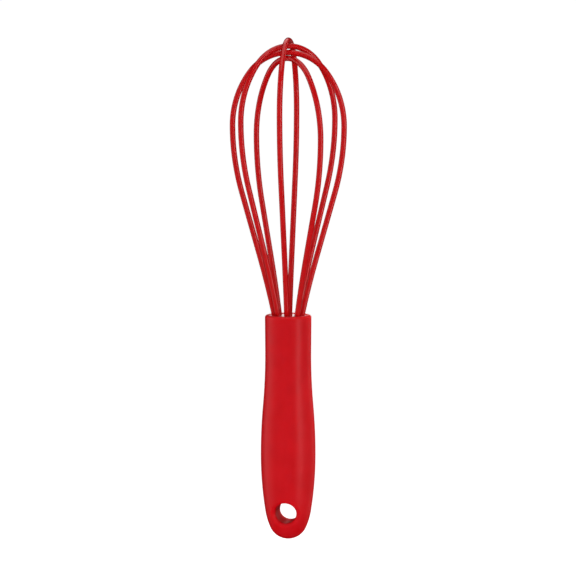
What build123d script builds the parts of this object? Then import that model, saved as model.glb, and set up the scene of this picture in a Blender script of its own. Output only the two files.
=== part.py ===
"""Balloon whisk: four silicone-sleeved steel loops held in a hollow moulded handle with a hanging hole.

All sizes are millimetres. The origin is the centre of the hanging hole, +Z runs up the handle to the
balloon's crown, and the hanging hole runs along Y.
"""

from build123d import *
from math import cos, hypot, radians, sin, tan
import os

# Handle. Its outline is a chain of tangent arcs, from the butt up over the heel and palm to the neck.
HANDLE_LENGTH = 120.3
BUTT_RADIUS = 10.45
BUTT_TURN = 66.0
HEEL_RADIUS = 35.5
HEEL_TURN = 14.8
PALM_RADIUS = 190.0
NECK_RADIUS = 300.0
NECK_TURN = 5.1
MOUTH_DRAFT = 0.5
RIM_FILLET = 1.5
HOLE_RADIUS = 5.6
HOLE_HEIGHT = 15.0
HOLE_FILLET = 1.6
CAVITY_FLOOR = 32.0
CAVITY_FLOOR_RADIUS = 8.8
CAVITY_TOP_RADIUS = 9.6
CAVITY_FLOOR_FILLET = 3.0

# Guide plug in the mouth, resin under it, anchor block under the resin.
SEAT_RADIUS = 10.1
SEAT_DEPTH = 11.0
GUIDE_RECESS = 0.3
GUIDE_EDGE_CHAMFER = 0.4
GUIDE_HOLE_FLARE = 0.3
SNAP_RIB = 0.3
SNAP_RIB_DEPTH = 6.0
SNAP_RIB_HEIGHT = 1.2
SNAP_RIB_ROOT = 1.0
RESIN_DEPTH = 8.0
ANCHOR_LENGTH = 12.0
ANCHOR_POCKET_RADIUS = 3.0
ANCHOR_POCKET_DEPTH = 8.0
FIT = 0.05

# Wires.
WIRE_RADIUS = 0.73
SLEEVE_BORE_RADIUS = 0.75
SLEEVE_RADIUS = 1.5
SLEEVE_SEAT_DEPTH = 9.0
HOOK_RADIUS = 1.5
HOOK_TAIL = 0.8

# Free part of each loop, from the innermost to the outermost. Crown heights are above the mouth, and
# step up so that every loop passes over the one before it. A crown rise is from the loop's widest point.
LOOP_ANGLES = [-45.0, 0.0, 42.0, 90.0]
CROWN_HEIGHTS = [136.15, 139.2, 142.6, 145.65]
LOOP_HALF_WIDTHS = [28.9, 29.9, 29.7, 28.9]
CROWN_RISES = [41.75, 38.75, 39.3, 38.2]
MOUTH_BEND_RADIUS = 12.0
MOUTH_LEAN = 12.2
ROOT_ARC_RADIUS = 480.0
FLARE_ANGLE = 15.9
FLANK_RADIUS = 129.0
SHOULDER_TURN = 37.0

LOOPS = range(1, len(LOOP_ANGLES) + 1)
BUTT_Z = -HOLE_HEIGHT
MOUTH_Z = BUTT_Z + HANDLE_LENGTH
SEAT_Z = MOUTH_Z - SEAT_DEPTH
RESIN_Z = SEAT_Z - RESIN_DEPTH
ANCHOR_Z = RESIN_Z - ANCHOR_LENGTH
MOUTH_BEND_DEPTH = MOUTH_BEND_RADIUS * sin(radians(MOUTH_LEAN))


def chain(spot, heading, moves):
    """Lines and arcs, each tangent to the one before it.

    A move is (length, 0) for a straight run, or (radius, turn) for an arc that turns left by that angle.
    """
    edges = []
    for size, turn in moves:
        if turn:
            edges.append(JernArc(spot, heading, size, turn))
        else:
            edges.append(PolarLine(spot, size, direction=heading))
        spot, heading = edges[-1] @ 1, edges[-1] % 1
    return edges


def lathe(points):
    """A solid of revolution about Z from its half section, given as (radius, z) corners."""
    outline = Polyline([(x, 0, z) for x, z in points], close=True)
    return revolve(make_face(outline), Axis.Z)


def cavity_radius(z):
    """The tapered cavity's radius at a height, from its floor to the guide's seat."""
    share = (z - (BUTT_Z + CAVITY_FLOOR)) / (SEAT_Z - (BUTT_Z + CAVITY_FLOOR))
    return CAVITY_FLOOR_RADIUS + share * (CAVITY_TOP_RADIUS - CAVITY_FLOOR_RADIUS)


# Loop geometry, in the loop's own plane: x is the distance from the whisk's axis, y is height.
def crown_radii(number):
    """The shoulder and crown radii that carry a loop from its widest point over to the axis."""
    lift = tan(radians(SHOULDER_TURN))
    slant = 1 / cos(radians(SHOULDER_TURN))
    half_width = LOOP_HALF_WIDTHS[number - 1]
    shoulder = (CROWN_RISES[number - 1] + half_width * (lift - slant)) / (1 + lift - slant)
    crown = shoulder - (shoulder - half_width) * slant
    return shoulder, crown


def flare_length(number):
    """Straight flare between the slightly bowed root of a leg and the flank's arc."""
    flare = radians(FLARE_ANGLE)
    rise = CROWN_HEIGHTS[number - 1] - CROWN_RISES[number - 1]
    root_rise = ROOT_ARC_RADIUS * (sin(flare) - sin(radians(MOUTH_LEAN)))
    return (rise - root_rise - FLANK_RADIUS * sin(flare)) / cos(flare)


def root_radius(number):
    """Distance of a loop's two legs from the axis inside the handle."""
    flare = radians(FLARE_ANGLE)
    lean = radians(MOUTH_LEAN)
    flank_reach = FLANK_RADIUS * (1 - cos(flare))
    root_reach = ROOT_ARC_RADIUS * (cos(lean) - cos(flare))
    bend_reach = MOUTH_BEND_RADIUS * (1 - cos(lean))
    flare_reach = flare_length(number) * sin(flare)
    return LOOP_HALF_WIDTHS[number - 1] - flank_reach - flare_reach - root_reach - bend_reach


def root_points(number):
    """Centres of a loop's two legs inside the handle."""
    turn = radians(LOOP_ANGLES[number - 1])
    reach = root_radius(number)
    return [(side * reach * cos(turn), side * reach * sin(turn)) for side in (1, -1)]


def loop_path(number, spot, heading, moves):
    """One leg's moves, carried on over the crown and back down the other leg in reverse order."""
    plane = Plane.XZ.rotated((0, 0, LOOP_ANGLES[number - 1]))
    return plane * Wire(chain(spot, heading, moves + moves[::-1]))


def free_moves(number):
    """The moves of one leg from inside the handle's mouth to the crown."""
    shoulder_radius, crown_radius = crown_radii(number)
    return [
        (MOUTH_BEND_RADIUS, -MOUTH_LEAN),
        (ROOT_ARC_RADIUS, MOUTH_LEAN - FLARE_ANGLE),
        (flare_length(number), 0),
        (FLANK_RADIUS, FLARE_ANGLE),
        (shoulder_radius, SHOULDER_TURN),
        (crown_radius, 90 - SHOULDER_TURN),
    ]


def wire_path(number):
    """The steel wire, from its hooked end under the anchor block, round the loop, to its other hook."""
    rise = MOUTH_Z - MOUTH_BEND_DEPTH - ANCHOR_Z
    hook = [(HOOK_TAIL, 0), (HOOK_RADIUS, 90), (rise, 0)]
    tip = (root_radius(number) - HOOK_RADIUS - HOOK_TAIL, ANCHOR_Z - HOOK_RADIUS)
    return loop_path(number, tip, (1, 0), hook + free_moves(number))


def sleeve_path(number):
    """The silicone sleeve, which starts and ends on the steps inside the guide plug."""
    foot = (root_radius(number), MOUTH_Z - SLEEVE_SEAT_DEPTH)
    return loop_path(number, foot, (0, 1), [(SLEEVE_SEAT_DEPTH - MOUTH_BEND_DEPTH, 0)] + free_moves(number))


def round_bar(path, radius):
    """A round bar along a path."""
    return sweep(Plane(path @ 0, z_dir=path % 0) * Circle(radius), path)


# Pieces.
def handle_outline():
    """The handle's half outline, closed along the axis, as a face in the XZ plane."""
    arcs = [
        (BUTT_RADIUS, BUTT_TURN),
        (HEEL_RADIUS, HEEL_TURN),
        (PALM_RADIUS, 90 - BUTT_TURN - HEEL_TURN),
        (NECK_RADIUS, NECK_TURN),
        (NECK_RADIUS, -NECK_TURN - MOUTH_DRAFT),
    ]
    edges = chain((0, BUTT_Z), (1, 0), arcs)
    neck = edges[-1] @ 1
    mouth = (neck.X + (MOUTH_Z - neck.Y) * tan(radians(MOUTH_DRAFT)), MOUTH_Z)
    edges.append(Polyline(neck, mouth, (0, MOUTH_Z), (0, BUTT_Z)))
    return Plane.XZ * make_face(edges)


def handle_body():
    """Hollow moulded handle: a turned outline, a tapered cavity open at the mouth, and the hanging hole."""
    body = revolve(handle_outline(), Axis.Z)
    rim = body.edges().filter_by(GeomType.CIRCLE).sort_by(Axis.Z)[-1]
    body = fillet(rim, RIM_FILLET)

    body -= Rot(90, 0, 0) * Cylinder(HOLE_RADIUS, 4 * SEAT_RADIUS)
    body = fillet([edge for edge in body.edges() if on_hole(edge)], HOLE_FILLET)

    floor_z = BUTT_Z + CAVITY_FLOOR
    cavity = lathe([(0, floor_z), (CAVITY_FLOOR_RADIUS, floor_z), (CAVITY_TOP_RADIUS, SEAT_Z), (0, SEAT_Z)])
    cavity = fillet(cavity.edges().sort_by(Axis.Z)[0], CAVITY_FLOOR_FILLET)
    seat = lathe([(0, SEAT_Z), (SEAT_RADIUS, SEAT_Z), (SEAT_RADIUS, MOUTH_Z), (0, MOUTH_Z)])
    groove = snap_ring(SEAT_RADIUS, SNAP_RIB + FIT, SNAP_RIB_HEIGHT + 2 * FIT)
    return body - cavity - seat - groove


def on_hole(edge):
    """Whether an edge is a rim of the hanging hole."""
    points = [edge @ 0, edge @ 0.25, edge @ 0.5]
    on_wall = all(abs(hypot(point.X, point.Z) - HOLE_RADIUS) < FIT for point in points)
    return on_wall and edge.geom_type != GeomType.LINE


def snap_ring(radius, height, length):
    """The ring that a snap rib, or its groove, adds outside a radius in the mouth."""
    middle = MOUTH_Z - SNAP_RIB_DEPTH
    return lathe(
        [
            (radius - SNAP_RIB_ROOT, middle - length / 2),
            (radius, middle - length / 2),
            (radius + height, middle),
            (radius, middle + length / 2),
            (radius - SNAP_RIB_ROOT, middle + length / 2),
        ]
    )


def drilled(block, drill):
    """A block with one hole for each of the eight legs, each cut by a drill that stands on the axis."""
    for number in LOOPS:
        for x, y in root_points(number):
            block -= Pos(x, y, 0) * drill
    return block


def wire_drill():
    """A drill of a bare wire's size, all the way through."""
    radius = WIRE_RADIUS + FIT
    return lathe([(0, BUTT_Z), (radius, BUTT_Z), (radius, MOUTH_Z), (0, MOUTH_Z)])


def sleeve_drill():
    """A drill of a sleeve's size, down to the step that the sleeve stands on, and flared at the mouth."""
    radius = SLEEVE_RADIUS + FIT
    step_z = MOUTH_Z - SLEEVE_SEAT_DEPTH
    flare_z = MOUTH_Z - MOUTH_BEND_DEPTH
    mouth_radius = radius + GUIDE_HOLE_FLARE
    return lathe([(0, step_z), (radius, step_z), (radius, flare_z), (mouth_radius, MOUTH_Z), (0, MOUTH_Z)])


def wire_guide():
    """Plug in the mouth: eight stepped holes space the legs, and a snap rib holds the plug in the handle."""
    top = MOUTH_Z - GUIDE_RECESS
    radius = SEAT_RADIUS - FIT
    plug = lathe([(0, SEAT_Z), (radius, SEAT_Z), (radius, top), (0, top)])
    plug = chamfer(plug.edges().filter_by(GeomType.CIRCLE).sort_by(Axis.Z)[-1], GUIDE_EDGE_CHAMFER)
    plug += snap_ring(radius, SNAP_RIB, SNAP_RIB_HEIGHT)
    return drilled(drilled(plug, sleeve_drill()), wire_drill())


def resin_fill():
    """Resin poured over the anchor block, which seals the legs and fills the cavity up to the guide plug."""
    fill = lathe(
        [
            (0, RESIN_Z),
            (cavity_radius(RESIN_Z) - FIT, RESIN_Z),
            (cavity_radius(SEAT_Z) - FIT, SEAT_Z),
            (0, SEAT_Z),
        ]
    )
    return drilled(fill, wire_drill())


def anchor_block():
    """Block over which the wires' ends are hooked. A pocket under it saves material."""
    block = lathe(
        [
            (0, ANCHOR_Z + ANCHOR_POCKET_DEPTH),
            (ANCHOR_POCKET_RADIUS, ANCHOR_Z + ANCHOR_POCKET_DEPTH),
            (ANCHOR_POCKET_RADIUS, ANCHOR_Z),
            (cavity_radius(ANCHOR_Z) - FIT, ANCHOR_Z),
            (cavity_radius(RESIN_Z) - FIT, RESIN_Z),
            (0, RESIN_Z),
        ]
    )
    return drilled(block, wire_drill())


def core_wire(number):
    """Steel wire of one loop."""
    return round_bar(wire_path(number), WIRE_RADIUS)


def sleeve(number):
    """Silicone tube on the free part of one loop."""
    path = sleeve_path(number)
    return round_bar(path, SLEEVE_RADIUS) - round_bar(path, SLEEVE_BORE_RADIUS)


def main():
    os.makedirs("parts", exist_ok=True)
    pieces = {
        "handle_body": handle_body(),
        "wire_guide": wire_guide(),
        "resin_fill": resin_fill(),
        "anchor_block": anchor_block(),
    }
    for number in LOOPS:
        pieces[f"core_wire_{number}"] = core_wire(number)
        pieces[f"silicone_sleeve_{number}"] = sleeve(number)
    for name, piece in pieces.items():
        export_step(piece, f"parts/{name}.step")


main()
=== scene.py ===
"""A balloon whisk's looks: red silicone sleeves and a satin moulded handle, in plain studio light."""

import bpy
from math import cos, radians, sin
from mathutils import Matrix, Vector


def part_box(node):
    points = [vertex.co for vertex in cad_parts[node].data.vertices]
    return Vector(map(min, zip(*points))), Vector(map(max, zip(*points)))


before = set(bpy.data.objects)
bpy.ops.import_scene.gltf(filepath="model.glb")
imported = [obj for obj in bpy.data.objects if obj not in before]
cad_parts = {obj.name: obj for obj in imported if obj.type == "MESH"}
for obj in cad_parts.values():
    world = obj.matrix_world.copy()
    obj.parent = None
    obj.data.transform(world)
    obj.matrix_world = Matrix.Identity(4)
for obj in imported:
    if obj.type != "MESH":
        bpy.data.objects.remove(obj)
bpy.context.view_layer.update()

# The numbers in the names of the loops' nodes.
LOOPS = range(1, 5)

# Camera: a long lens, from a little above and to the right of the handle's front. The sensor's width is in
# millimetres. All other lengths in this script are in metres, and its angles are in degrees.
CAMERA_AZIMUTH = 9.0
CAMERA_ELEVATION = 5.6
CAMERA_DISTANCE = 2.125
VIEW_WIDTH = 0.306
SENSOR_WIDTH = 36.0
AIM_ABOVE_MOUTH = 0.0142
AIM_LEFT = 0.0001
CLIP_END = 100.0

# Stage: how far the floor lies below the handle, how far it reaches, and how bright the surroundings are
# where they light the object.
FLOOR_DROP = 0.25
FLOOR_REACH = 40.0
SKY_FILL = 0.02

# Lamps: power is in watts. The light tent's lamps are listed by their turn from the camera.
LAMP_DISTANCE = 1.2
KICKER_DISTANCE = 0.35
TENT_SIZE = (0.9, 1.6)
TENT_POWERS = {0: 6.9, 45: 6.9, 90: 6.0, 180: 2.4, 225: 2.4, 270: 6.0, 315: 6.9}
TENT_BELOW_SIZE = (1.2, 1.2)
TENT_BELOW_POWER = 6.9

# Materials: the part of a noise's range over which a colour or a roughness changes, the detail of the noise
# in a bump, and a coat that reflects almost nothing, whose tint paints shade that deepens a colour towards
# its edges.
COLOUR_RANGE = (0.35, 0.65)
ROUGHNESS_RANGE = (0.3, 0.7)
BUMP_DETAIL = 2
PAINTED_EDGE_SHADE_COAT = {"Coat Weight": 1.0, "Coat Roughness": 0.3, "Coat IOR": 1.06}


# Material tools.
def new_material(name, values=None):
    """A node material, its node tree and its principled shader, which gets the values."""
    material = bpy.data.materials.new(name)
    material.use_nodes = True
    tree = material.node_tree
    shader = tree.nodes["Principled BSDF"]
    for socket, value in (values or {}).items():
        shader.inputs[socket].default_value = value
    return material, tree, shader


def noise(tree, scale, detail):
    """Noise in the object's own coordinates, in which one unit is a metre."""
    place = tree.nodes.new("ShaderNodeTexCoord")
    node = tree.nodes.new("ShaderNodeTexNoise")
    node.inputs["Scale"].default_value = scale
    node.inputs["Detail"].default_value = detail
    tree.links.new(place.outputs["Object"], node.inputs["Vector"])
    return node.outputs["Fac"]


def ramp(tree, value, low, high):
    """Two colours, spread over a value's middle range."""
    node = tree.nodes.new("ShaderNodeValToRGB")
    for stop, position, colour in zip(node.color_ramp.elements, COLOUR_RANGE, (low, high)):
        stop.position = position
        stop.color = (*colour, 1)
    tree.links.new(value, node.inputs["Fac"])
    return node.outputs["Color"]


def spread(tree, value, low, high):
    """A value's middle range, spread from low to high."""
    node = tree.nodes.new("ShaderNodeMapRange")
    limits = {"From Min": ROUGHNESS_RANGE[0], "From Max": ROUGHNESS_RANGE[1], "To Min": low, "To Max": high}
    for socket, limit in limits.items():
        node.inputs[socket].default_value = limit
    tree.links.new(value, node.inputs["Value"])
    return node.outputs["Result"]


def bump(tree, layers):
    """A chain of bumps. A layer is the scale of its noise, and the height that the noise stands for."""
    normal = None
    for scale, height in layers:
        node = tree.nodes.new("ShaderNodeBump")
        node.inputs["Distance"].default_value = height
        tree.links.new(noise(tree, scale, BUMP_DETAIL), node.inputs["Height"])
        if normal:
            tree.links.new(normal, node.inputs["Normal"])
        normal = node.outputs["Normal"]
    return normal


def mottled_material(name, colours, colour_scale, roughness, roughness_scale, detail, bumps=(), values=None):
    """A material whose colour and roughness each wander between two values, over noise of a given scale."""
    material, tree, shader = new_material(name, values)
    colour = ramp(tree, noise(tree, colour_scale, detail), *colours)
    tree.links.new(colour, shader.inputs["Base Color"])
    gloss = spread(tree, noise(tree, roughness_scale, detail), *roughness)
    tree.links.new(gloss, shader.inputs["Roughness"])
    if bumps:
        tree.links.new(bump(tree, bumps), shader.inputs["Normal"])
    return material


# Materials.
def handle_material():
    """Red moulded plastic, satin and slightly translucent, with low waves, a fine grain, and a tinted coat
    that paints shade darkening the red towards the edges.
    """
    return mottled_material(
        "handle_red",
        colours=((0.58, 0.005, 0.011), (0.63, 0.007, 0.014)),
        colour_scale=90,
        roughness=(0.37, 0.45),
        roughness_scale=160,
        detail=4,
        bumps=((55, 0.0002), (2600, 0.00002)),
        values={
            "IOR": 1.45,
            "Specular IOR Level": 0.32,
            "Subsurface Weight": 0.7,
            "Subsurface Radius": (1.0, 0.06, 0.06),
            "Subsurface Scale": 0.008,
            # Painted edge shade: the coat's tint deepens the red towards the handle's edges.
            "Coat Tint": (0.93, 0.75, 0.75, 1),
            **PAINTED_EDGE_SHADE_COAT,
        },
    )


def silicone_material():
    """Glossy red silicone, with a tinted coat that paints shade darkening the red towards the edges."""
    return mottled_material(
        "silicone_red",
        colours=((0.68, 0.006, 0.009), (0.74, 0.008, 0.012)),
        colour_scale=110,
        roughness=(0.12, 0.18),
        roughness_scale=240,
        detail=4,
        bumps=((140, 0.00004), (2200, 0.000003)),
        values={
            "IOR": 1.5,
            "Specular IOR Level": 1.0,
            # Painted edge shade: the coat's tint deepens the red towards the sleeves' edges.
            "Coat Tint": (0.77, 0.52, 0.52, 1),
            **PAINTED_EDGE_SHADE_COAT,
        },
    )


def guide_material():
    """Red plastic with a glossy face."""
    return mottled_material(
        "guide_red",
        colours=((0.52, 0.007, 0.010), (0.60, 0.010, 0.014)),
        colour_scale=120,
        roughness=(0.12, 0.2),
        roughness_scale=300,
        detail=3,
        bumps=((150, 0.00005),),
    )


def steel_material():
    """Drawn stainless wire."""
    return mottled_material(
        "drawn_steel",
        colours=((0.48, 0.48, 0.50), (0.62, 0.62, 0.64)),
        colour_scale=400,
        roughness=(0.2, 0.34),
        roughness_scale=900,
        detail=3,
        values={"Metallic": 1.0},
    )


def resin_material():
    """Slightly yellow cast resin."""
    return mottled_material(
        "cast_resin",
        colours=((0.62, 0.52, 0.30), (0.72, 0.63, 0.42)),
        colour_scale=200,
        roughness=(0.1, 0.2),
        roughness_scale=500,
        detail=3,
    )


def anchor_material():
    """Dark moulded plastic."""
    return mottled_material(
        "anchor_dark",
        colours=((0.012, 0.012, 0.014), (0.022, 0.022, 0.025)),
        colour_scale=150,
        roughness=(0.45, 0.6),
        roughness_scale=600,
        detail=3,
    )


def paper_material():
    """White studio paper, bright enough to hold no shadow."""
    values = {
        "Base Color": (0.9, 0.9, 0.9, 1),
        "Roughness": 0.9,
        "Specular IOR Level": 0.0,
        "Emission Color": (1, 1, 1, 1),
        "Emission Strength": 1.0,
    }
    material, _, _ = new_material("studio_paper", values)
    return material


def set_material(node, material):
    """Gives a CAD node one material."""
    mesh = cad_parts[node].data
    mesh.materials.clear()
    mesh.materials.append(material)


# Stage.
def floor(z):
    """A plain white floor, which only the camera sees, so that it lights nothing."""
    mesh = bpy.data.meshes.new("floor")
    corners = [(x * FLOOR_REACH, y * FLOOR_REACH, z) for x, y in ((-1, -1), (1, -1), (1, 1), (-1, 1))]
    mesh.from_pydata(corners, [], [(0, 1, 2, 3)])
    piece = bpy.data.objects.new("floor", mesh)
    bpy.context.scene.collection.objects.link(piece)
    mesh.materials.append(paper_material())
    piece.visible_diffuse = False
    piece.visible_glossy = False
    piece.visible_shadow = False


def sky():
    """Surroundings that are white behind the object, and dim where they light it or are reflected."""
    world = bpy.data.worlds.new("studio")
    bpy.context.scene.world = world
    world.use_nodes = True
    tree = world.node_tree
    background = tree.nodes["Background"]
    background.inputs["Color"].default_value = (1, 1, 1, 1)
    path = tree.nodes.new("ShaderNodeLightPath")
    strength = tree.nodes.new("ShaderNodeMapRange")
    strength.inputs["To Min"].default_value = SKY_FILL
    strength.inputs["To Max"].default_value = 1.0
    tree.links.new(path.outputs["Is Camera Ray"], strength.inputs["Value"])
    tree.links.new(strength.outputs["Result"], background.inputs["Strength"])


def stand(piece, target, azimuth, elevation, distance):
    """Puts a lamp or the camera at its place, facing its target. Azimuth 0 is the front, and 90 the right."""
    turn, lift = radians(azimuth), radians(elevation)
    back = Vector((sin(turn) * cos(lift), -cos(turn) * cos(lift), sin(lift)))
    piece.location = target + back * distance
    piece.rotation_euler = back.to_track_quat("Z", "Y").to_euler()
    bpy.context.scene.collection.objects.link(piece)


def lamp(name, target, turn, elevation, size, power, shine=True, fill=True, distance=LAMP_DISTANCE):
    """A rectangular light at a turn from the camera.

    A light without shine leaves no highlight on what it lights, and one without fill leaves nothing else.
    """
    light = bpy.data.lights.new(name, "AREA")
    light.shape = "RECTANGLE"
    light.size, light.size_y = size
    light.energy = power
    holder = bpy.data.objects.new(name, light)
    holder.visible_glossy = shine
    holder.visible_diffuse = fill
    stand(holder, target, CAMERA_AZIMUTH + turn, elevation, distance)


def light_tent(target):
    """Soft, even light from all round and below, dimmer behind, without highlights."""
    for turn, power in TENT_POWERS.items():
        lamp(f"tent_{turn}", target, turn, 0, TENT_SIZE, power, shine=False)
    lamp("tent_below", target, -CAMERA_AZIMUTH, -90, TENT_BELOW_SIZE, TENT_BELOW_POWER, shine=False)


def highlight_lamps(target):
    """Light from above, and highlights along both sides of the handle and the wires."""
    lamp("overhead", target, turn=0, elevation=90, size=(1.5, 1.5), power=8.0)
    lamp("back_top", target, turn=180, elevation=45, size=(0.8, 0.6), power=3.5)
    lamp("strip_right", target, turn=52, elevation=5, size=(0.34, 1.4), power=5.0, fill=False)
    lamp("band_left", target, turn=-100, elevation=5, size=(0.9, 1.4), power=4.6, fill=False)
    lamp("rim_right", target, turn=125, elevation=5, size=(0.25, 1.4), power=1.2, fill=False)


def back_lamps(target, mouth):
    """Light on the hanging hole's wall, and what the guide's face and that wall mirror from behind."""
    lamp("through", target, turn=141, elevation=20, size=(0.9, 0.9), power=16.0, shine=False)
    lamp("kicker", mouth, turn=180, elevation=CAMERA_ELEVATION, size=(0.06, 0.08), power=0.021,
         distance=KICKER_DISTANCE)
    lamp("backdrop", target, turn=180 - 2 * CAMERA_AZIMUTH, elevation=-CAMERA_ELEVATION, size=(0.4, 0.4),
         power=0.08)


def camera(target):
    """The camera at the chosen azimuth and elevation, aimed a little left of the target."""
    data = bpy.data.cameras.new("camera")
    data.sensor_width = SENSOR_WIDTH
    data.lens = SENSOR_WIDTH * CAMERA_DISTANCE / VIEW_WIDTH
    data.clip_end = CLIP_END
    eye = bpy.data.objects.new("camera", data)
    turn = radians(CAMERA_AZIMUTH)
    right = Vector((cos(turn), sin(turn), 0))
    stand(eye, target - right * AIM_LEFT, CAMERA_AZIMUTH, CAMERA_ELEVATION, CAMERA_DISTANCE)
    bpy.context.scene.camera = eye


# Object.
set_material("handle_body", handle_material())
set_material("wire_guide", guide_material())
set_material("resin_fill", resin_material())
set_material("anchor_block", anchor_material())
silicone = silicone_material()
steel = steel_material()
for number in LOOPS:
    set_material(f"silicone_sleeve_{number}", silicone)
    set_material(f"core_wire_{number}", steel)

# Studio.
mouth_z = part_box("handle_body")[1].z
mouth = Vector((0, 0, mouth_z))
aim = Vector((0, 0, mouth_z + AIM_ABOVE_MOUTH))
floor(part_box("handle_body")[0].z - FLOOR_DROP)
sky()
light_tent(aim)
highlight_lamps(aim)
back_lamps(aim, mouth)
camera(aim)
bpy.context.scene.view_settings.view_transform = "Standard"
